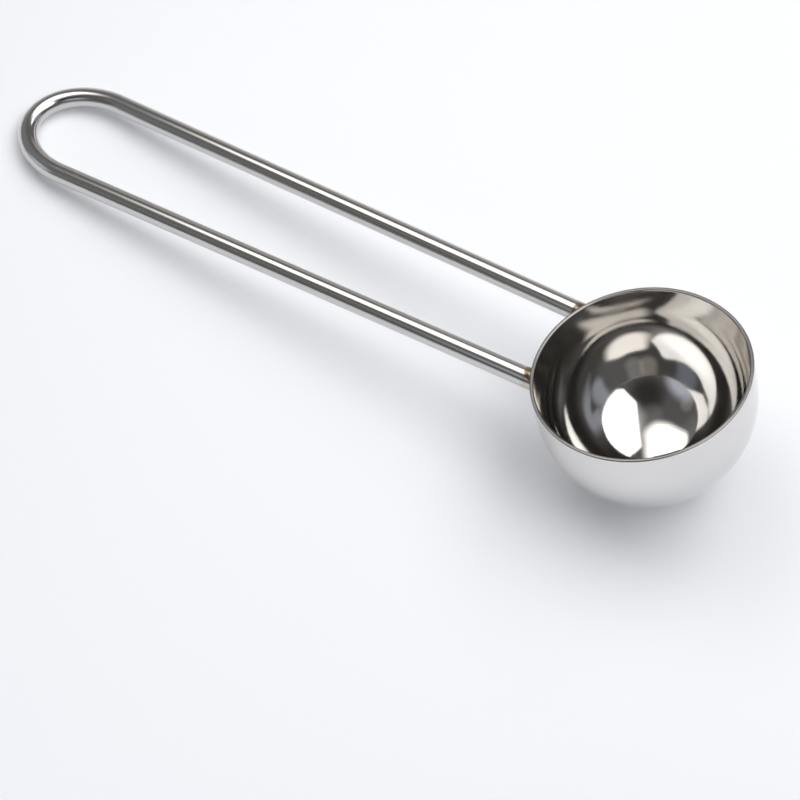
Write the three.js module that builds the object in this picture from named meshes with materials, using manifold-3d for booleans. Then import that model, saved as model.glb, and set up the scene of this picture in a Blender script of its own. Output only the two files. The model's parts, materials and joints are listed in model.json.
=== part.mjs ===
// Coffee scoop: a deep round bowl pressed from sheet steel, and a handle bent from one steel wire.
// The wire runs out from the bowl, round a loop and back, and both of its ends are welded to the bowl's wall.
// Millimetres, +Z up. The scoop lies as it does on a table: on the bowl's round bottom and the tip of the loop.
// The handle points along -X. The origin is on the table, under the middle of the scoop's bounding box.

import * as THREE from "three";
import { mergeVertices } from "three/addons/utils/BufferGeometryUtils.js";
import Module from "manifold-3d";

// Bowl
const BOWL_DIAMETER = 44; // outside of the rim
const BOWL_WALL_HEIGHT = 7.1; // straight wall between the rim and the half sphere below it
const SHEET_THICKNESS = 0.8;
const RIM_EDGE_RADIUS = 0.2; // both edges of the rim are eased

// Handle, measured on the centre of its wire
const WIRE_DIAMETER = 4.2;
const WIRE_BELOW_RIM = 2.4; // where the wire meets the wall
const HANDLE_REACH = 132.6; // from the wall to the tip of the loop
const HANDLE_LIFT = 4.1; // degrees that the handle rises from the plane of the rim
const LEG_SPACING = 18.8; // between the two legs where they meet the wall
const LOOP_WIDTH = 21.7;
const LOOP_LENGTH = 14.5; // from the widest place of the loop to its tip

// Welds
const WELD_THICKNESS = 0.9; // between the wall and the end of the wire
const WELD_FLARE = 0.6; // how far a weld spreads past the wire, at its root
const FIT_GAP = 0.3; // between a weld and each of the two pieces that it joins

// Facets
const BOWL_SIDES = 56;
const BOWL_ARC_STEPS = 12;
const RIM_EDGE_STEPS = 2;
const WIRE_SIDES = 16;
const WIRE_STEPS = 110;
const WELD_SIDES = 28;

// Derived sizes
const bowlRadius = BOWL_DIAMETER / 2;
const bowlInnerRadius = bowlRadius - SHEET_THICKNESS;
const bowlDepth = BOWL_WALL_HEIGHT + bowlRadius;
const wireRadius = WIRE_DIAMETER / 2;
const legOffset = LEG_SPACING / 2;
const liftAngle = THREE.MathUtils.degToRad(HANDLE_LIFT);
// The legs cross the wall this far from the bowl's axis, towards the handle.
const wallCrossing = Math.sqrt(bowlRadius ** 2 - legOffset ** 2);
const weldInnerRadius = bowlRadius + FIT_GAP;
const weldOuterRadius = weldInnerRadius + WELD_THICKNESS;
const wireEndRadius = weldOuterRadius + FIT_GAP;

const steel = {
  bowl: new THREE.MeshStandardMaterial({ color: 0xd6d6d4, roughness: 0.08, metalness: 1 }),
  wire: new THREE.MeshStandardMaterial({ color: 0xcfcfcc, roughness: 0.16, metalness: 1 }),
  weld: new THREE.MeshStandardMaterial({ color: 0xb49a6c, roughness: 0.35, metalness: 1 }),
};

const wasm = await Module();
wasm.setup();

// A closed geometry, placed by a matrix, as a solid that can be cut.
function solidOf(geometry, matrix = new THREE.Matrix4()) {
  const bare = geometry.clone().applyMatrix4(matrix);
  bare.deleteAttribute("normal");
  bare.deleteAttribute("uv");
  const merged = mergeVertices(bare);
  const mesh = new wasm.Mesh({
    numProp: 3,
    vertProperties: merged.attributes.position.array,
    triVerts: new Uint32Array(merged.index.array),
  });
  return new wasm.Manifold(mesh);
}

function geometryOf(solid) {
  const mesh = solid.getMesh();
  const geometry = new THREE.BufferGeometry();
  geometry.setAttribute("position", new THREE.BufferAttribute(mesh.vertProperties, mesh.numProp));
  geometry.setIndex(new THREE.BufferAttribute(mesh.triVerts, 1));
  geometry.computeVertexNormals();
  return geometry;
}

function namedMesh(name, geometry, material) {
  const mesh = new THREE.Mesh(geometry, material);
  mesh.name = name;
  return mesh;
}

// Points on a round stretch of a profile, from one angle to another.
function arcPoints(x, y, radius, from, to, steps) {
  return new THREE.EllipseCurve(x, y, radius, radius, from, to, to < from).getPoints(steps);
}

// Bowl: the sheet's outline turned round the bowl's axis. Its origin is the middle of the rim.
function bowlGeometry() {
  const quarter = Math.PI / 2;
  const edge = Math.min(RIM_EDGE_RADIUS, SHEET_THICKNESS / 2);
  const outline = [
    ...arcPoints(0, -BOWL_WALL_HEIGHT, bowlRadius, -quarter, 0, BOWL_ARC_STEPS),
    ...arcPoints(bowlRadius - edge, -edge, edge, 0, quarter, RIM_EDGE_STEPS),
    ...arcPoints(bowlInnerRadius + edge, -edge, edge, quarter, 2 * quarter, RIM_EDGE_STEPS),
    ...arcPoints(0, -BOWL_WALL_HEIGHT, bowlInnerRadius, 0, -quarter, BOWL_ARC_STEPS),
  ];
  outline[0].x = 0;
  outline[outline.length - 1].x = 0;
  return new THREE.LatheGeometry(outline, BOWL_SIDES).rotateX(quarter);
}

// Handle: its own frame has its origin midway between the two welds, with the loop along -X.
const handleFrame = new THREE.Matrix4()
  .makeRotationY(liftAngle)
  .setPosition(-wallCrossing, 0, -WIRE_BELOW_RIM);

// The loop's end is a half ellipse, which the two legs leave as tangents.
const loopCentre = new THREE.Vector3(LOOP_LENGTH - HANDLE_REACH, 0, 0);
const tangentAlong = -loopCentre.x / LOOP_LENGTH;
const tangentAcross = legOffset / (LOOP_WIDTH / 2);
const tangentAngle =
  Math.atan2(tangentAcross, tangentAlong) + Math.acos(1 / Math.hypot(tangentAlong, tangentAcross));

class LoopCurve extends THREE.Curve {
  getPoint(t, target = new THREE.Vector3()) {
    const angle = tangentAngle + 2 * t * (Math.PI - tangentAngle);
    target.set(LOOP_LENGTH * Math.cos(angle), (LOOP_WIDTH / 2) * Math.sin(angle), 0);
    return target.add(loopCentre);
  }
}

// The point where a leg's centre line meets the wall, and the leg's direction from there to the loop.
function legLine(side) {
  const foot = new THREE.Vector3(0, side * legOffset, 0);
  const top = new LoopCurve().getPoint(side > 0 ? 0 : 1);
  return { foot, top, direction: top.clone().sub(foot).normalize() };
}

function wirePath() {
  const left = legLine(1);
  const right = legLine(-1);
  // Both legs run on past the wall, to be cut to its curve.
  const leftStart = left.foot.clone().addScaledVector(left.direction, -wallCrossing / 2);
  const rightEnd = right.foot.clone().addScaledVector(right.direction, -wallCrossing / 2);
  const path = new THREE.CurvePath();
  path.add(new THREE.LineCurve3(leftStart, left.top));
  path.add(new LoopCurve());
  path.add(new THREE.LineCurve3(right.top, rightEnd));
  return path;
}

// A tall cylinder round the bowl's axis, which cuts a piece to the curve of the wall.
function wallCutter(radius) {
  const height = 2 * bowlDepth;
  return solidOf(new THREE.CylinderGeometry(radius, radius, height, BOWL_SIDES).rotateX(Math.PI / 2));
}

function wireGeometry() {
  const section = new THREE.Shape().absarc(0, 0, wireRadius, 0, 2 * Math.PI);
  const tube = new THREE.ExtrudeGeometry(section, {
    steps: WIRE_STEPS,
    curveSegments: WIRE_SIDES / 2,
    bevelEnabled: false,
    extrudePath: wirePath(),
  });
  return geometryOf(solidOf(tube, handleFrame).subtract(wallCutter(wireEndRadius)));
}

// Weld: a short flared pad on the line of a leg, curved like the wall on the side of the bowl and of the wire.
function weldGeometry(side) {
  const { foot, direction } = legLine(side);
  const spread = wireRadius + WELD_FLARE;
  // A leg meets the wall at a slant, so one edge of its pad reaches further round the bowl than the other.
  const slant = (spread * legOffset) / wallCrossing;
  const halfLength = WELD_THICKNESS + 2 * FIT_GAP + slant;
  const cone = new THREE.CylinderGeometry(wireRadius, spread, 2 * halfLength, WELD_SIDES);
  const turn = new THREE.Quaternion().setFromUnitVectors(new THREE.Vector3(0, 1, 0), direction);
  const place = new THREE.Matrix4().makeRotationFromQuaternion(turn).setPosition(foot);
  const pad = solidOf(cone, handleFrame.clone().multiply(place));
  return geometryOf(pad.intersect(wallCutter(weldOuterRadius)).subtract(wallCutter(weldInnerRadius)));
}

// Resting tilt: the bowl's round bottom and the tip of the loop are at one height.
function restingTilt() {
  const tip = new THREE.Vector3(-HANDLE_REACH, 0, 0).applyMatrix4(handleFrame);
  const reach = Math.abs(tip.x);
  const rise = tip.z + BOWL_WALL_HEIGHT;
  const drop = bowlRadius - wireRadius;
  return Math.atan2(rise, reach) + Math.asin(drop / Math.hypot(reach, rise));
}

const scoop = new THREE.Group();
scoop.add(namedMesh("bowl", bowlGeometry(), steel.bowl));
scoop.add(namedMesh("wire_handle", wireGeometry(), steel.wire));
scoop.add(namedMesh("weld_left", weldGeometry(1), steel.weld));
scoop.add(namedMesh("weld_right", weldGeometry(-1), steel.weld));
scoop.rotation.y = -restingTilt();

const part = new THREE.Group();
part.add(scoop);
const box = new THREE.Box3().setFromObject(part, true);
const middle = box.getCenter(new THREE.Vector3());
scoop.position.set(-middle.x, -middle.y, -box.min.z);

export default part;
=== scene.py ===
import json
import math

import bmesh
import bpy
from mathutils import Matrix, Vector


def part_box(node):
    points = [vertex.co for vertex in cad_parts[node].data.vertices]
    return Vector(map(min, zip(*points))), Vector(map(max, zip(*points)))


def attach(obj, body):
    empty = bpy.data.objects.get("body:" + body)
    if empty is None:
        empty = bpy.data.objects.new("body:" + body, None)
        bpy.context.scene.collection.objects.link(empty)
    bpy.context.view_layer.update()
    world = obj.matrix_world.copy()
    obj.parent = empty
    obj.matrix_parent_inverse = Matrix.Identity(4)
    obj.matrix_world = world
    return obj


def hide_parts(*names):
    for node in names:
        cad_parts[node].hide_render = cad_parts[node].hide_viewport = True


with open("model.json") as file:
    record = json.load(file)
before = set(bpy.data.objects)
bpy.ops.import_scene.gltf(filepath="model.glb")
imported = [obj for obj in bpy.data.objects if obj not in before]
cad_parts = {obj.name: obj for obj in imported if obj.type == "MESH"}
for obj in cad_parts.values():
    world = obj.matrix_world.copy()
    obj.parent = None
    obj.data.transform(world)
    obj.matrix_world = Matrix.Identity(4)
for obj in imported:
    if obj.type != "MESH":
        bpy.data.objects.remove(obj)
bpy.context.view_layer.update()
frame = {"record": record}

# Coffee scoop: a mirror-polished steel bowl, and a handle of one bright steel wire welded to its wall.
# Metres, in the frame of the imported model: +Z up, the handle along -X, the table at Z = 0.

MM = 0.001

# Bowl
BOWL_DIAMETER = 44 * MM
BOWL_WALL_HEIGHT = 7.1 * MM
SHEET_THICKNESS = 0.8 * MM
RIM_EDGE_RADIUS = 0.28 * MM
RIM_SUPPORT = 0.06 * MM  # bands beside the rim's rounding, so that the flats keep their own shine
WAVE_LENGTH = 13 * MM  # slow waves that pressing leaves in the sheet
WAVE_DEPTH = 0.1 * MM

# Handle, measured on the centre of its wire
WIRE_DIAMETER = 4.2 * MM
WIRE_BELOW_RIM = 2.4 * MM
HANDLE_REACH = 132.6 * MM
HANDLE_LIFT = math.radians(4.1)
LEG_SPACING = 18.8 * MM
LOOP_WIDTH = 21.7 * MM
LOOP_LENGTH = 14.5 * MM

# Welds
WELD_LENGTH = 0.9 * MM  # from the wall to where the weld runs out on the wire
WELD_FLARE = 0.22 * MM  # how far its root spreads past the wire
WELD_DEPTH = 0.4 * MM  # how far the root and the wire's end lie below the wall's face
HEAT_REACH = 1.1 * MM  # how far past a weld its heat has tinted the steel

# Facets
BOWL_SEGMENTS = 192
BOWL_RINGS = 96
WALL_BANDS = 10
RIM_STEPS = 4
WIRE_SIDES = 40
LEG_STEPS = 30
LOOP_STEPS = 60
WELD_SIDES = 32
WELD_STEPS = 6
WELD_SUBDIVISIONS = 2
SHARP_ANGLE = math.radians(40)  # edges that turn more than this stay sharp
SAME_LEVEL = 0.001 * MM  # points nearer than this to a plane lie in it
SAME_POINT = 0.01 * MM  # points nearer than this are merged

# Finish of the bowl
# The two faces are one steel: the inside's darker colour is painted shade, the outside's paler one painted
# light.
INSIDE_STEEL_SHADED = "#c9c7c4"
OUTSIDE_STEEL_LIT = "#dbdad9"
# The rim's darker colour is painted shade that dims its reflection; its roughness is its own rough edge.
RIM_STEEL_SHADED = "#8a8886"
BOWL_ROUGHNESS = (0.04, 0.09)
RIM_ROUGHNESS = 0.3
BUFFING_SPACING = 0.4 * MM  # coarser than the wheel leaves its lines, so that they show
BUFFING_DEPTH = 0.002 * MM
DRAWING_WIDTH = 1.5 * MM  # of the streaks that run up the wall, where the sheet was pulled over the die
DRAWING_LENGTH = 8 * MM
DRAWING_DEPTH = 0.006 * MM
DRAWING_HAZE = 0.05  # what the streaks add to the roughness
SMEAR_SIZE = 6 * MM

# Finish of the wire
WIRE_STEEL = "#cccbc9"
WIRE_ROUGHNESS = (0.15, 0.21)
DIE_LINE_WIDTH = 0.3 * MM  # coarser than the die leaves its lines, so that they show
DIE_LINE_LENGTH = 50 * MM
DIE_LINE_DEPTH = 0.004 * MM

# Finish of the welds
WELD_TINTS = [(0.36, "#6a5846"), (0.5, "#877a64"), (0.64, "#9f9886")]  # its darkest patches to its palest
WELD_ROUGHNESS = 0.3
WELD_PATCH_SIZE = 1.2 * MM
HEAT_STRAW = "#b0a488"
BOWL_HEAT = 0.45  # share of the straw tint where it is strongest
WIRE_HEAT = 0.5

NOISE_SPAN = (0.35, 0.7)  # most of a noise's values lie between these

# Camera, as the photograph was taken
VIEW_AZIMUTH = math.radians(33.738)
VIEW_ELEVATION = math.radians(57.412)
VIEW_DISTANCE = 660 * MM  # along the line of sight, to the middle of the rim
VIEW_OFFSET_RIGHT = 46.84 * MM  # the middle of the rim lies this far right of the line of sight
VIEW_OFFSET_UP = 5.357 * MM
VIEW_LENS = 152.94  # millimetres, on a 36 mm sensor
VIEW_NEAREST = 10 * MM

# Table
TABLE_SIZE = 6000 * MM
TABLE_GAP = 0.02 * MM  # keeps it clear of the bowl's lowest point
TABLE_COLOUR = "#f9fbff"
TABLE_WHITE = 0.12  # how much of its white is its own

# Lamps, in slopes from the middle of the rim: to the camera's right, and away from it
RIGHT_LAMP = dict(
    middle=(0.545, 0.22), rise=0.75, lean=0, half=(0.475, 1.07), turn=0.1, corner=0.1, fade=0.06,
    brightness=2.18, tint="#ffffff", cuts=[(-135, 0.78), (144, 0.56), (-50, 0.93)],
)
RIGHT_LAMP_CORE = dict(
    middle=(0.46, -0.04), rise=0.74, lean=0, half=(0.36, 0.4), turn=0.1, corner=0.36, fade=0.5,
    brightness=1.1, tint="#ffffff",
)
LEFT_LAMP = dict(
    middle=(-0.57, 0.54), rise=0.28, lean=1.2, half=(0.545, 0.55), turn=0, corner=0.28, fade=0.24,
    brightness=2.38, tint="#fffcf8", cuts=[(-128, 0.365)],
)
LOW_CARD = dict(
    middle=(-1.6, -1.15), rise=0.11, lean=0, half=(0.7, 0.6), turn=0, corner=0.55, fade=0.6,
    brightness=0.65, tint="#e0e8fb",
)

# Painted glow: light that is still in the bowl when it is no longer followed, given to the steel as emission
PAINTED_GLEAM_LEFT = 0.85
PAINTED_GLEAM_RIGHT = 0.05
PAINTED_GLEAM_TINT = "#fff8ef"
LAST_BOUNCE = 4

# Room. Each patch has its azimuth, elevation, full radius and outer radius in degrees, and what it adds.
ROOM_SHADE = (0.135, 0.132, 0.13)
ROOM_PATCHES = [
    (14, 32, 6, 24, (0.2, 0.24, 0.31)),
    (86, 14, 5, 20, (0.34, 0.32, 0.3)),
    (145, 20, 8, 42, (0.1, 0.105, 0.115)),
    (110, 12, 4, 20, (0.27, 0.27, 0.28)),
    (-164, 38, 3, 9, (0.12, 0.12, 0.12)),
    (-178, 13, 5, 19, (0.48, 0.54, 0.65)),
    (-100, 55, 2, 26, (-0.09, -0.09, -0.09)),
    (-130, 74, 3, 15, (0.07, 0.07, 0.075)),
]

# Derived sizes
bowl_radius = BOWL_DIAMETER / 2
wire_radius = WIRE_DIAMETER / 2
leg_offset = LEG_SPACING / 2
wall_crossing = math.sqrt(bowl_radius ** 2 - leg_offset ** 2)
wall_turn = math.asin(leg_offset / bowl_radius)  # round the wall, from the handle's middle to a weld

# The bowl's place in the frame: its round bottom stands on the table, and its rim leans as the record says.
rim_axis = Vector(frame["record"]["mounts"][0]["axis"])
bowl_lean = math.atan2(rim_axis.x, rim_axis.z)
bowl_low, bowl_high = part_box("bowl")
ball_centre = Vector((bowl_high.x - bowl_radius, 0, bowl_low.z + bowl_radius))
ball_place = Matrix.Translation(ball_centre) @ Matrix.Rotation(bowl_lean, 4, "Y")
rim_place = ball_place @ Matrix.Translation((0, 0, BOWL_WALL_HEIGHT))
rim_centre = rim_place.to_translation()
handle_place = (
    rim_place
    @ Matrix.Translation((-wall_crossing, 0, -WIRE_BELOW_RIM))
    @ Matrix.Rotation(HANDLE_LIFT, 4, "Y")
)

# The left leg in the handle's plane. The loop's end is a half ellipse, which the leg leaves as a tangent.
loop_centre = LOOP_LENGTH - HANDLE_REACH
tangent_along = -loop_centre / LOOP_LENGTH
tangent_across = leg_offset / (LOOP_WIDTH / 2)
tangent_angle = (
    math.atan2(tangent_across, tangent_along)
    + math.acos(1 / math.hypot(tangent_along, tangent_across))
)

camera_right = Vector((math.cos(VIEW_AZIMUTH), math.sin(VIEW_AZIMUTH), 0))
camera_away = Vector((-math.sin(VIEW_AZIMUTH), math.cos(VIEW_AZIMUTH), 0))


def loop_point(angle):
    return Vector((loop_centre + LOOP_LENGTH * math.cos(angle), LOOP_WIDTH / 2 * math.sin(angle), 0))


leg_foot = Vector((0, leg_offset, 0))
leg_top = loop_point(tangent_angle)
leg_direction = (leg_top - leg_foot).normalized()


def weld_foot(side):
    """Where the centre of a leg meets the wall, from the middle of the rim."""
    return Vector((-wall_crossing, side * leg_offset, -WIRE_BELOW_RIM))


def linear(code):
    """The linear colour of an sRGB hex value."""
    channels = [int(code[i:i + 2], 16) / 255 for i in (1, 3, 5)]
    curved = [c / 12.92 if c <= 0.04045 else ((c + 0.055) / 1.055) ** 2.4 for c in channels]
    return (*curved, 1)


def add_node(tree, kind, inputs=None, **settings):
    """Adds a node, sets what is given by name, and links or fills its inputs.

    A Mix node's inputs go by number: 0 is its share, 2 and 3 are its numbers, and 6 and 7 its colours.
    """
    node = tree.nodes.new(kind)
    for name, value in settings.items():
        setattr(node, name, value)
    for socket, value in (inputs or {}).items():
        if isinstance(value, bpy.types.NodeSocket):
            tree.links.new(value, node.inputs[socket])
        else:
            node.inputs[socket].default_value = value
    return node


def new_material(name):
    """A material with no nodes yet, and its tree."""
    material = bpy.data.materials.new(name)
    material.use_nodes = True
    tree = material.node_tree
    tree.nodes.clear()
    return material, tree


# Materials

def bowl_marks(tree, place, upright, height):
    """What buffing and drawing left in the sheet: the bent normal of its face, and its roughness."""
    # Buffing lines run round the bowl.
    level = add_node(tree, "ShaderNodeVectorMath", {0: upright, 1: (1, 1, 0)}, operation="MULTIPLY")
    out = add_node(tree, "ShaderNodeVectorMath", {0: level.outputs["Vector"]}, operation="LENGTH")
    up_the_sheet = add_node(tree, "ShaderNodeMath", {0: out.outputs["Value"], 1: height}, operation="ADD")
    lines = add_node(
        tree, "ShaderNodeTexNoise",
        {"W": up_the_sheet.outputs["Value"], "Scale": 1 / BUFFING_SPACING, "Detail": 2.0},
        noise_dimensions="1D",
    )
    buffed = add_node(
        tree, "ShaderNodeBump", {"Height": lines.outputs["Fac"], "Strength": 1.0, "Distance": BUFFING_DEPTH}
    )
    # Drawing marks run up the wall, and grow towards the rim.
    pulled = add_node(
        tree, "ShaderNodeMapping",
        {"Vector": upright, "Scale": (1 / DRAWING_WIDTH, 1 / DRAWING_WIDTH, 1 / DRAWING_LENGTH)},
    )
    streaks = add_node(
        tree, "ShaderNodeTexNoise", {"Vector": pulled.outputs["Vector"], "Scale": 1.0, "Detail": 3.0}
    )
    on_wall = add_node(
        tree, "ShaderNodeMapRange",
        {"Value": height, "From Min": -BOWL_WALL_HEIGHT, "From Max": BOWL_WALL_HEIGHT / 2},
    )
    marks = add_node(
        tree, "ShaderNodeMath", {0: streaks.outputs["Fac"], 1: on_wall.outputs["Result"]},
        operation="MULTIPLY",
    )
    marked = add_node(
        tree, "ShaderNodeBump",
        {
            "Height": marks.outputs["Value"],
            "Strength": 1.0,
            "Distance": DRAWING_DEPTH,
            "Normal": buffed.outputs["Normal"],
        },
    )
    # Smears of the polish vary the roughness, and the drawing marks haze it.
    smears = add_node(tree, "ShaderNodeTexNoise", {"Vector": place, "Scale": 1 / SMEAR_SIZE, "Detail": 4.0})
    smeared = add_node(
        tree, "ShaderNodeMapRange",
        {
            "Value": smears.outputs["Fac"],
            "From Min": NOISE_SPAN[0],
            "From Max": NOISE_SPAN[1],
            "To Min": BOWL_ROUGHNESS[0],
            "To Max": BOWL_ROUGHNESS[1],
        },
    )
    hazed = add_node(
        tree, "ShaderNodeMath",
        {0: marks.outputs["Value"], 1: DRAWING_HAZE, 2: smeared.outputs["Result"]}, operation="MULTIPLY_ADD",
    )
    return marked.outputs["Normal"], hazed.outputs["Value"]


def bowl_colour(tree, place, upright, on_rim):
    """The sheet's colour: faces and rim in painted light and shade, and the straw heat tint round each weld.
    """
    # What tells the faces apart is the distance from the ball's middle below, and from its axis above.
    lowered = add_node(tree, "ShaderNodeVectorMath", {0: upright, 1: (1, 1, 0)}, operation="MINIMUM")
    depth = add_node(tree, "ShaderNodeVectorMath", {0: lowered.outputs["Vector"]}, operation="LENGTH")
    outside = add_node(
        tree, "ShaderNodeMath", {0: depth.outputs["Value"], 1: bowl_radius - SHEET_THICKNESS / 2},
        operation="GREATER_THAN",
    ).outputs["Value"]
    # Painted light and shade: one steel, made paler outside and darker inside, to set how bright each face's
    # reflections look.
    faces = add_node(
        tree, "ShaderNodeMix", {0: outside, 6: linear(INSIDE_STEEL_SHADED), 7: linear(OUTSIDE_STEEL_LIT)},
        data_type="RGBA",
    )
    # Painted shade: the rim gets a darker steel than the faces, which dims its reflections.
    ground = add_node(
        tree, "ShaderNodeMix", {0: on_rim, 6: faces.outputs[2], 7: linear(RIM_STEEL_SHADED)}, data_type="RGBA"
    )
    gaps = [
        add_node(
            tree, "ShaderNodeVectorMath", {0: place, 1: rim_place @ weld_foot(side)}, operation="DISTANCE"
        ).outputs["Value"]
        for side in (1, -1)
    ]
    nearest = add_node(tree, "ShaderNodeMath", {0: gaps[0], 1: gaps[1]}, operation="MINIMUM")
    heat = add_node(
        tree, "ShaderNodeMapRange",
        {
            "Value": nearest.outputs["Value"],
            "From Min": wire_radius,
            "From Max": wire_radius + HEAT_REACH,
            "To Min": BOWL_HEAT,
            "To Max": 0.0,
        },
        interpolation_type="SMOOTHSTEP",
    )
    tinted = add_node(tree, "ShaderNodeMath", {0: heat.outputs["Result"], 1: outside}, operation="MULTIPLY")
    colour = add_node(
        tree, "ShaderNodeMix",
        {0: tinted.outputs["Value"], 6: ground.outputs[2], 7: linear(HEAT_STRAW)}, data_type="RGBA",
    )
    return colour.outputs[2]


def painted_gleam(tree, upright):
    """Painted glow: light is followed over four bounces, and the wall that it meets next glows with the
    light it holds, not black.

    It holds much on the left, which looks towards the right lamp, and little on the right, which looks past
    both lamps.
    """
    towards_right = add_node(
        tree, "ShaderNodeVectorMath", {0: upright, 1: camera_right}, operation="DOT_PRODUCT"
    )
    held = add_node(
        tree, "ShaderNodeMapRange",
        {
            "Value": towards_right.outputs["Value"],
            "From Min": -bowl_radius / 2,
            "From Max": bowl_radius / 2,
            "To Min": PAINTED_GLEAM_LEFT,
            "To Max": PAINTED_GLEAM_RIGHT,
        },
        interpolation_type="SMOOTHSTEP",
    )
    bounces = add_node(tree, "ShaderNodeLightPath").outputs["Glossy Depth"]
    gleam = add_node(
        tree, "ShaderNodeMapRange",
        {
            "Value": bounces,
            "From Min": LAST_BOUNCE - 1.0,
            "From Max": LAST_BOUNCE,
            "To Min": 0.0,
            "To Max": held.outputs["Result"],
        },
    )
    return gleam.outputs["Result"]


def mirror_polished_stainless():
    """Stainless sheet, pressed and buffed: a clear mirror with faint turned lines, and a dull rim darkened
    with painted shade.
    """
    material, tree = new_material("stainless_sheet_mirror_polished")
    place = add_node(tree, "ShaderNodeTexCoord").outputs["Object"]
    # The bowl's own upright frame, with its origin in the middle of the ball.
    upright = add_node(
        tree, "ShaderNodeMapping",
        {"Vector": place, "Location": ball_centre, "Rotation": (0, bowl_lean, 0)}, vector_type="TEXTURE",
    ).outputs["Vector"]
    height = add_node(tree, "ShaderNodeSeparateXYZ", {"Vector": upright}).outputs["Z"]
    on_rim = add_node(
        tree, "ShaderNodeMapRange",
        {
            "Value": height,
            "From Min": BOWL_WALL_HEIGHT - RIM_EDGE_RADIUS,
            "From Max": BOWL_WALL_HEIGHT - RIM_EDGE_RADIUS / 2,
        },
    ).outputs["Result"]
    normal, roughness = bowl_marks(tree, place, upright, height)
    duller = add_node(tree, "ShaderNodeMix", {0: on_rim, 2: roughness, 3: RIM_ROUGHNESS}, data_type="FLOAT")
    shader = add_node(
        tree, "ShaderNodeBsdfPrincipled",
        {
            "Base Color": bowl_colour(tree, place, upright, on_rim),
            "Metallic": 1.0,
            "Roughness": duller.outputs[0],
            "Normal": normal,
            # Painted glow: emission on the steel, in place of the light after the last bounce.
            "Emission Color": linear(PAINTED_GLEAM_TINT),
            "Emission Strength": painted_gleam(tree, upright),
        },
    )
    add_node(tree, "ShaderNodeOutputMaterial", {"Surface": shader.outputs["BSDF"]})
    return material


def bright_drawn_wire():
    """Stainless wire, drawn and polished: a bright mirror with faint lines along it from the die."""
    material, tree = new_material("stainless_wire_bright_drawn")
    drawn = add_node(tree, "ShaderNodeAttribute", attribute_name="drawn").outputs["Vector"]
    stretched = add_node(
        tree, "ShaderNodeMapping",
        {"Vector": drawn, "Scale": (1 / DIE_LINE_WIDTH, 1 / DIE_LINE_WIDTH, 1 / DIE_LINE_LENGTH)},
    )
    lines = add_node(
        tree, "ShaderNodeTexNoise", {"Vector": stretched.outputs["Vector"], "Scale": 1.0, "Detail": 2.0}
    )
    bump = add_node(
        tree, "ShaderNodeBump", {"Height": lines.outputs["Fac"], "Strength": 1.0, "Distance": DIE_LINE_DEPTH}
    )
    rough = add_node(
        tree, "ShaderNodeMapRange",
        {
            "Value": lines.outputs["Fac"],
            "From Min": NOISE_SPAN[0],
            "From Max": NOISE_SPAN[1],
            "To Min": WIRE_ROUGHNESS[0],
            "To Max": WIRE_ROUGHNESS[1],
        },
    )
    # Straw heat tint that fades along the wire from each weld.
    along = add_node(tree, "ShaderNodeSeparateXYZ", {"Vector": drawn})
    heat = add_node(
        tree, "ShaderNodeMapRange",
        {
            "Value": along.outputs["Z"],
            "From Min": WELD_LENGTH,
            "From Max": WELD_LENGTH + HEAT_REACH,
            "To Min": WIRE_HEAT,
            "To Max": 0.0,
        },
        interpolation_type="SMOOTHSTEP",
    )
    colour = add_node(
        tree, "ShaderNodeMix",
        {0: heat.outputs["Result"], 6: linear(WIRE_STEEL), 7: linear(HEAT_STRAW)}, data_type="RGBA",
    )
    shader = add_node(
        tree, "ShaderNodeBsdfPrincipled",
        {
            "Base Color": colour.outputs[2],
            "Metallic": 1.0,
            "Roughness": rough.outputs["Result"],
            "Normal": bump.outputs["Normal"],
        },
    )
    add_node(tree, "ShaderNodeOutputMaterial", {"Surface": shader.outputs["BSDF"]})
    return material


def tinted_weld():
    """Stainless weld left as it cooled: a dull bead, straw to brown with its heat tint."""
    material, tree = new_material("stainless_weld_heat_tinted")
    place = add_node(tree, "ShaderNodeTexCoord").outputs["Object"]
    patches = add_node(
        tree, "ShaderNodeTexNoise", {"Vector": place, "Scale": 1 / WELD_PATCH_SIZE, "Detail": 2.0}
    )
    tint = add_node(tree, "ShaderNodeValToRGB", {"Fac": patches.outputs["Fac"]})
    stops = tint.color_ramp.elements
    while len(stops) < len(WELD_TINTS):
        stops.new(1)
    for stop, (position, code) in zip(stops, WELD_TINTS):
        stop.position = position
        stop.color = linear(code)
    shader = add_node(
        tree, "ShaderNodeBsdfPrincipled",
        {"Base Color": tint.outputs["Color"], "Metallic": 1.0, "Roughness": WELD_ROUGHNESS},
    )
    add_node(tree, "ShaderNodeOutputMaterial", {"Surface": shader.outputs["BSDF"]})
    return material


# Modelling

def select_edges(piece, test):
    """In edit mode, selects the edges that pass a test of their two ends."""
    bpy.ops.mesh.select_all(action="DESELECT")
    bpy.ops.mesh.select_mode(type="EDGE")
    mesh = bmesh.from_edit_mesh(piece.data)
    for edge in mesh.edges:
        edge.select_set(test(edge.verts[0].co, edge.verts[1].co))
    bmesh.update_edit_mesh(piece.data)


def settle(piece, place):
    """Puts a finished mesh in its place, and leaves its object at the origin."""
    piece.matrix_world = place
    bpy.ops.object.transform_apply(location=True, rotation=True, scale=True)


def dress(piece, material, slot, *nodes):
    """Gives a piece its finish, hangs it on the root body, and hides the model's parts that it stands for.
    """
    piece.data.materials.clear()
    piece.data.materials.append(material)
    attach(piece, "root")
    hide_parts(*nodes)


def apply_modifier(piece, kind, **settings):
    modifier = piece.modifiers.new(kind.lower(), kind)
    for name, value in settings.items():
        setattr(modifier, name, value)
    bpy.ops.object.modifier_apply(modifier=modifier.name)


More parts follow.
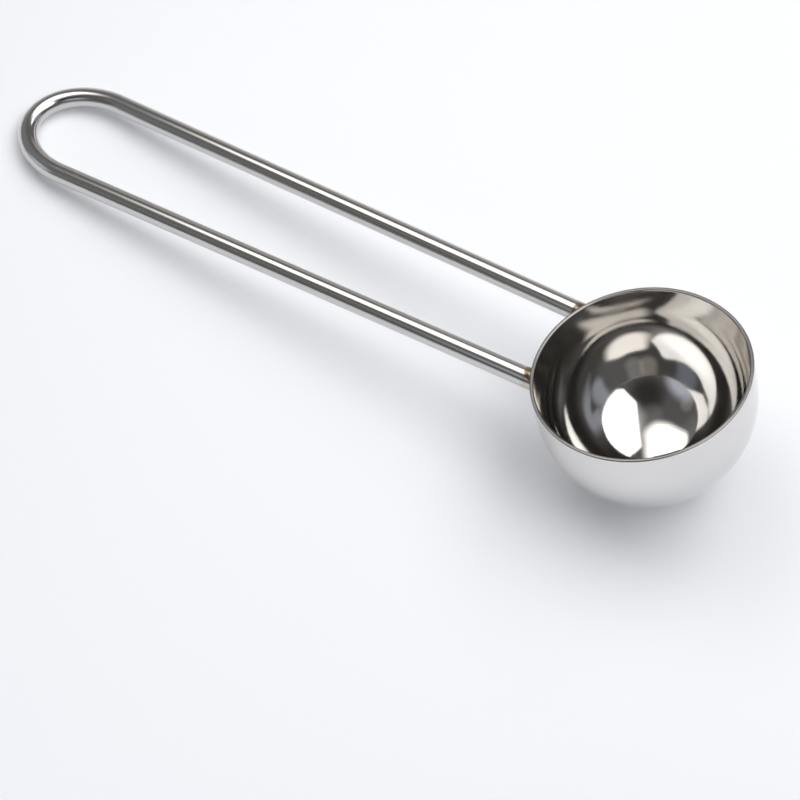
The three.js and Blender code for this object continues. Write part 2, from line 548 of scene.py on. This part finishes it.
def model_bowl():
    """Half a sphere with its wall drawn up straight, given the sheet's thickness, and eased at the rim."""
    bpy.ops.object.select_all(action="DESELECT")
    bpy.ops.mesh.primitive_uv_sphere_add(
        segments=BOWL_SEGMENTS, ring_count=BOWL_RINGS, radius=bowl_radius, location=(0, 0, 0)
    )
    bowl = bpy.context.object
    bowl.name = "pressed_bowl"
    bpy.ops.object.mode_set(mode="EDIT")
    bpy.ops.mesh.select_all(action="SELECT")
    bpy.ops.mesh.bisect(plane_co=(0, 0, 0), plane_no=(0, 0, 1), clear_outer=True, threshold=SAME_POINT)

    # The wall goes up in even bands, with a narrow one last for the rim's rounding.
    select_edges(bowl, lambda a, b: abs(a.z) < SAME_LEVEL and abs(b.z) < SAME_LEVEL)
    last_band = RIM_EDGE_RADIUS + RIM_SUPPORT
    bands = [(BOWL_WALL_HEIGHT - last_band) / WALL_BANDS] * WALL_BANDS + [last_band]
    for height in bands:
        bpy.ops.mesh.extrude_region_move(TRANSFORM_OT_translate={"value": (0, 0, height)})
    bpy.ops.mesh.select_all(action="SELECT")
    bpy.ops.mesh.normals_make_consistent(inside=False)
    bpy.ops.object.mode_set(mode="OBJECT")
    waves = bpy.data.textures.new("pressing_waves", "CLOUDS")
    waves.noise_scale = WAVE_LENGTH
    waves.noise_depth = 0
    apply_modifier(
        bowl, "DISPLACE", texture=waves, texture_coords="LOCAL", strength=WAVE_DEPTH, mid_level=0.5
    )
    apply_modifier(bowl, "SOLIDIFY", thickness=SHEET_THICKNESS, offset=-1.0, use_even_offset=True)

    bpy.ops.object.mode_set(mode="EDIT")

    def on_rim_edge(a, b):
        at_top = min(a.z, b.z) > BOWL_WALL_HEIGHT - SAME_LEVEL
        return at_top and abs(a.xy.length - b.xy.length) < SHEET_THICKNESS / 2

    select_edges(bowl, on_rim_edge)
    bpy.ops.mesh.bevel(offset=RIM_EDGE_RADIUS, offset_type="OFFSET", segments=RIM_STEPS, affect="EDGES")
    bpy.ops.mesh.select_all(action="DESELECT")
    bpy.ops.mesh.select_mode(type="FACE")
    mesh = bmesh.from_edit_mesh(bowl.data)
    for face in mesh.faces:
        face.select_set(min(vert.co.z for vert in face.verts) > BOWL_WALL_HEIGHT - SAME_LEVEL)
    bmesh.update_edit_mesh(bowl.data)
    bpy.ops.mesh.inset(thickness=RIM_SUPPORT)
    bpy.ops.object.mode_set(mode="OBJECT")
    bpy.ops.object.shade_smooth()
    settle(bowl, ball_place)
    return bowl


def model_wire():
    """One ring drawn out along the left leg and half the loop, cut to the wall, and mirrored."""
    start = leg_foot - leg_direction * WIRE_DIAMETER
    heading = math.atan2(leg_direction.y, leg_direction.x)
    bpy.ops.object.select_all(action="DESELECT")
    bpy.ops.mesh.primitive_circle_add(
        vertices=WIRE_SIDES, radius=wire_radius, location=start, rotation=(0, math.pi / 2, heading)
    )
    wire = bpy.context.object
    wire.name = "bent_wire"
    bpy.ops.object.transform_apply(location=True, rotation=True, scale=True)

    leg = [start.lerp(leg_top, step / LEG_STEPS) for step in range(1, LEG_STEPS + 1)]
    turn = (math.pi - tangent_angle) / LOOP_STEPS
    angles = [tangent_angle + turn * step for step in range(1, LOOP_STEPS + 1)]
    centres = [start] + leg + [loop_point(angle) for angle in angles]
    # A ring's heading on the loop is that of the ellipse there, not of the chord to the last ring.
    headings = [heading] * (LEG_STEPS + 1)
    for angle in angles:
        headings.append(math.atan2(LOOP_WIDTH / 2 * math.cos(angle), -LOOP_LENGTH * math.sin(angle)))

    bpy.ops.object.mode_set(mode="EDIT")
    bpy.ops.mesh.select_mode(type="EDGE")
    bpy.ops.mesh.select_all(action="SELECT")
    for i in range(1, len(centres)):
        move = centres[i] - centres[i - 1]
        bpy.ops.mesh.extrude_region_move(TRANSFORM_OT_translate={"value": move})
        swing = math.remainder(headings[i] - headings[i - 1], 2 * math.pi)
        if swing:
            # With no window the operator turns the other way.
            bpy.ops.transform.rotate(value=-swing, orient_axis="Z", center_override=centres[i])

    # Each point notes where it lies in the straight wire: across, up, and along from the weld.
    bpy.ops.object.mode_set(mode="OBJECT")
    runs = [-WIRE_DIAMETER]
    for i in range(1, len(centres)):
        runs.append(runs[-1] + (centres[i] - centres[i - 1]).length)
    drawn = wire.data.attributes.new("drawn", "FLOAT_VECTOR", "POINT")
    for vertex in wire.data.vertices:
        ring = min(range(len(centres)), key=lambda i: (vertex.co - centres[i]).length_squared)
        offset = vertex.co - centres[ring]
        across = math.copysign(offset.xy.length, offset.xy.cross(leg_direction.xy))
        drawn.data[vertex.index].vector = (across, offset.z, runs[ring])
    bpy.ops.object.mode_set(mode="EDIT")

    # The wall's face at the foot, seen in the handle's plane, cuts the wire's end.
    wall_normal = Vector((-math.cos(wall_turn), math.sin(wall_turn), 0))
    bpy.ops.mesh.select_all(action="SELECT")
    bpy.ops.mesh.bisect(
        plane_co=leg_foot - wall_normal * WELD_DEPTH, plane_no=wall_normal, clear_inner=True, use_fill=True,
        threshold=SAME_LEVEL,
    )
    bpy.ops.object.mode_set(mode="OBJECT")
    apply_modifier(wire, "MIRROR", use_axis=(False, True, False), merge_threshold=SAME_POINT)
    bpy.ops.object.mode_set(mode="EDIT")
    bpy.ops.mesh.select_all(action="SELECT")
    bpy.ops.mesh.normals_make_consistent(inside=False)
    bpy.ops.object.mode_set(mode="OBJECT")
    bpy.ops.object.shade_smooth_by_angle(angle=SHARP_ANGLE)
    settle(wire, handle_place)
    return wire


def model_weld(side):
    """A collar that starts on the wire and spreads to the wall, made upright on the wall and then placed."""
    lifted = Matrix.Rotation(HANDLE_LIFT, 3, "Y")
    along = lifted @ Vector((leg_direction.x, side * leg_direction.y, 0))
    outward = Vector((-math.cos(wall_turn), side * math.sin(wall_turn), 0))
    slant = along.angle(outward)
    # Local frame: Z out of the wall, and the wire leaning from Z towards Y.
    lean_axis = (along - outward * along.dot(outward)).normalized()
    local = Matrix((lean_axis.cross(outward), lean_axis, outward)).transposed().to_4x4()
    wire_line = Vector((0, math.sin(slant), math.cos(slant)))
    run_out = wire_line * (WELD_LENGTH + wire_radius * math.tan(slant))

    bpy.ops.object.select_all(action="DESELECT")
    bpy.ops.mesh.primitive_circle_add(
        vertices=WELD_SIDES, radius=wire_radius, location=run_out, rotation=(-slant, 0, 0)
    )
    weld = bpy.context.object
    weld.name = "weld_bead_left" if side > 0 else "weld_bead_right"
    bpy.ops.object.transform_apply(location=True, rotation=True, scale=True)
    bpy.ops.object.mode_set(mode="EDIT")
    bpy.ops.mesh.select_mode(type="EDGE")
    bpy.ops.mesh.select_all(action="SELECT")
    bpy.ops.mesh.edge_face_add()
    centre = run_out
    spread = wire_radius
    for step in range(1, WELD_STEPS + 1):
        share = step / WELD_STEPS
        lower = run_out * (1 - share)
        lower.z -= WELD_DEPTH * share
        bpy.ops.mesh.extrude_region_move(TRANSFORM_OT_translate={"value": lower - centre})
        bpy.ops.transform.rotate(value=-slant / WELD_STEPS, orient_axis="X", center_override=lower)
        wider = wire_radius + WELD_FLARE * share ** 2
        bpy.ops.transform.resize(value=(wider / spread,) * 3, center_override=lower)
        centre = lower
        spread = wider
    bpy.ops.mesh.select_all(action="SELECT")
    bpy.ops.mesh.normals_make_consistent(inside=False)
    bpy.ops.object.mode_set(mode="OBJECT")
    apply_modifier(weld, "SUBSURF", levels=WELD_SUBDIVISIONS, render_levels=WELD_SUBDIVISIONS)
    bpy.ops.object.shade_smooth()
    settle(weld, rim_place @ Matrix.Translation(weld_foot(side)) @ local)
    return weld


# Studio

def aim_camera():
    back = Vector((
        math.sin(VIEW_AZIMUTH) * math.cos(VIEW_ELEVATION),
        -math.cos(VIEW_AZIMUTH) * math.cos(VIEW_ELEVATION),
        math.sin(VIEW_ELEVATION),
    ))
    above = back.cross(camera_right)
    data = bpy.data.cameras.new("camera")
    data.lens = VIEW_LENS
    data.clip_start = VIEW_NEAREST
    camera = bpy.data.objects.new("camera", data)
    bpy.context.scene.collection.objects.link(camera)
    aim = rim_centre - camera_right * VIEW_OFFSET_RIGHT - above * VIEW_OFFSET_UP
    camera.location = aim + back * VIEW_DISTANCE
    camera.rotation_euler = (math.pi / 2 - VIEW_ELEVATION, 0, VIEW_AZIMUTH)
    bpy.context.scene.camera = camera


def lay_floor():
    bpy.ops.object.select_all(action="DESELECT")
    bpy.ops.mesh.primitive_plane_add(size=TABLE_SIZE, location=(0, 0, -TABLE_GAP))
    floor = bpy.context.object
    floor.name = "table"
    material, tree = new_material("table_white")
    shade = add_node(tree, "ShaderNodeBsdfDiffuse", {"Color": linear(TABLE_COLOUR)})
    # Part of the white is the table's own, for the camera and for the steel that mirrors it.
    rays = add_node(tree, "ShaderNodeLightPath").outputs
    seen = add_node(
        tree, "ShaderNodeMath", {0: rays["Is Camera Ray"], 1: rays["Is Glossy Ray"]}, operation="ADD"
    )
    seen = add_node(
        tree, "ShaderNodeMath", {0: seen.outputs["Value"], 1: rays["Is Transmission Ray"]},
        operation="ADD", use_clamp=True,
    )
    share = add_node(
        tree, "ShaderNodeMath", {0: seen.outputs["Value"], 1: TABLE_WHITE}, operation="MULTIPLY"
    )
    white = add_node(tree, "ShaderNodeEmission", {"Color": linear(TABLE_COLOUR), "Strength": 1.0})
    both = add_node(
        tree, "ShaderNodeMixShader",
        {0: share.outputs["Value"], 1: shade.outputs["BSDF"], 2: white.outputs["Emission"]},
    )
    add_node(tree, "ShaderNodeOutputMaterial", {"Surface": both.outputs["Shader"]})
    floor.data.materials.append(material)


def lamp_glow(name, middle, half, turn, corner, fade, brightness, tint, cuts):
    """A glow that is even inside and fades over round edges and cuts. The room shows through the rest."""
    material, tree = new_material(name)
    place = add_node(tree, "ShaderNodeTexCoord").outputs["Object"]
    from_rim = add_node(
        tree, "ShaderNodeMapping",
        {"Vector": place, "Location": rim_centre, "Rotation": (0, 0, VIEW_AZIMUTH)}, vector_type="TEXTURE",
    ).outputs["Vector"]
    height = add_node(tree, "ShaderNodeSeparateXYZ", {"Vector": from_rim}).outputs["Z"]
    per_height = add_node(tree, "ShaderNodeMath", {0: 1.0, 1: height}, operation="DIVIDE")
    slopes = add_node(
        tree, "ShaderNodeVectorMath", {0: from_rim, "Scale": per_height.outputs["Value"]}, operation="SCALE"
    )
    spot = add_node(
        tree, "ShaderNodeMapping",
        {"Vector": slopes.outputs["Vector"], "Location": (*middle, 1), "Rotation": (0, 0, turn)},
        vector_type="TEXTURE",
    ).outputs["Vector"]
    quarter = add_node(tree, "ShaderNodeVectorMath", {0: spot}, operation="ABSOLUTE")
    past = add_node(
        tree, "ShaderNodeVectorMath",
        {0: quarter.outputs["Vector"], 1: (half[0] - corner, half[1] - corner, 0)}, operation="SUBTRACT",
    )
    outside = add_node(
        tree, "ShaderNodeVectorMath", {0: past.outputs["Vector"], 1: (0, 0, 0)}, operation="MAXIMUM"
    )
    distance = add_node(tree, "ShaderNodeVectorMath", {0: outside.outputs["Vector"]}, operation="LENGTH")
    edges = [(distance.outputs["Value"], corner)]
    for angle, cut_distance in cuts:
        slant = math.radians(angle) - turn
        towards_cut = add_node(
            tree, "ShaderNodeVectorMath", {0: spot, 1: (math.cos(slant), math.sin(slant), 0)},
            operation="DOT_PRODUCT",
        )
        edges.append((towards_cut.outputs["Value"], cut_distance))
    strength = brightness
    for value, edge in edges:
        strength = add_node(
            tree, "ShaderNodeMapRange",
            {
                "Value": value,
                "From Min": edge - fade / 2,
                "From Max": edge + fade / 2,
                "To Min": strength,
                "To Max": 0.0,
            },
            interpolation_type="SMOOTHSTEP",
        ).outputs["Result"]
    glow = add_node(tree, "ShaderNodeEmission", {"Color": linear(tint), "Strength": strength})
    clear = add_node(tree, "ShaderNodeBsdfTransparent")
    both = add_node(tree, "ShaderNodeAddShader", {0: glow.outputs["Emission"], 1: clear.outputs["BSDF"]})
    add_node(tree, "ShaderNodeOutputMaterial", {"Surface": both.outputs["Shader"]})
    return material


def hang_lamp(name, middle, rise, lean, half, turn, corner, fade, brightness, tint, cuts=()):
    """A soft box given in slopes, with its rise in metres and its turn in radians.

    It hangs level at lean 0, and faces the middle of the rim at lean 1. A cut darkens all past a line, which
    has an angle in degrees from the camera's right and a distance from the lamp's middle.
    """
    facing = Vector((middle[0] * lean, middle[1] * lean, 1))
    depth = rise * facing.dot(Vector((*middle, 1)))
    turned = Matrix.Rotation(turn, 3, "Z")
    bpy.ops.object.select_all(action="DESELECT")
    bpy.ops.mesh.primitive_plane_add(size=2)
    lamp = bpy.context.object
    lamp.name = name
    for vertex in lamp.data.vertices:
        across = vertex.co.x * (half[0] + fade / 2)
        away = vertex.co.y * (half[1] + fade / 2)
        slope = turned @ Vector((across, away, 1)) + Vector((*middle, 0))
        slope *= depth / facing.dot(slope)
        vertex.co = rim_centre + camera_right * slope.x + camera_away * slope.y + Vector((0, 0, slope.z))
    lamp.visible_camera = False
    glow = lamp_glow(name, middle, half, turn, corner, fade, brightness, tint, cuts)
    lamp.data.materials.append(glow)


def room_direction(azimuth, elevation):
    """A direction in the room. Azimuth turns from the camera's right towards what lies behind the scoop."""
    turn = math.radians(azimuth)
    rise = math.radians(elevation)
    level = camera_right * math.cos(turn) + camera_away * math.sin(turn)
    return level * math.cos(rise) + Vector((0, 0, math.sin(rise)))


def light_room():
    """Dim walls with a few soft patches, most of them pale, for the steel to show."""
    world = bpy.data.worlds.new("room")
    bpy.context.scene.world = world
    world.use_nodes = True
    tree = world.node_tree
    tree.nodes.clear()
    direction = add_node(tree, "ShaderNodeTexCoord").outputs["Generated"]
    total = ROOM_SHADE
    for azimuth, elevation, inner, outer, colour in ROOM_PATCHES:
        facing = add_node(
            tree, "ShaderNodeVectorMath", {0: direction, 1: room_direction(azimuth, elevation)},
            operation="DOT_PRODUCT",
        )
        share = add_node(
            tree, "ShaderNodeMapRange",
            {
                "Value": facing.outputs["Value"],
                "From Min": math.cos(math.radians(outer)),
                "From Max": math.cos(math.radians(inner)),
            },
            interpolation_type="SMOOTHSTEP",
        )
        patch = add_node(
            tree, "ShaderNodeVectorMath", {0: colour, "Scale": share.outputs["Result"]}, operation="SCALE"
        )
        total = add_node(
            tree, "ShaderNodeVectorMath", {0: patch.outputs["Vector"], 1: total}, operation="ADD"
        ).outputs["Vector"]
    light = add_node(tree, "ShaderNodeBackground", {"Color": total, "Strength": 1.0})
    add_node(tree, "ShaderNodeOutputWorld", {"Surface": light.outputs["Background"]})


aim_camera()
lay_floor()
light_room()
hang_lamp("lamp_right", **RIGHT_LAMP)
hang_lamp("lamp_right_core", **RIGHT_LAMP_CORE)
hang_lamp("lamp_left", **LEFT_LAMP)
hang_lamp("low_card", **LOW_CARD)
bpy.context.scene.view_settings.view_transform = "Standard"

dress(model_bowl(), mirror_polished_stainless(), "bowl_steel", "bowl")
dress(model_wire(), bright_drawn_wire(), "wire_steel", "wire_handle")
weld_finish = tinted_weld()
dress(model_weld(1), weld_finish, "weld_steel", "weld_left")
dress(model_weld(-1), weld_finish, "weld_steel", "weld_right")
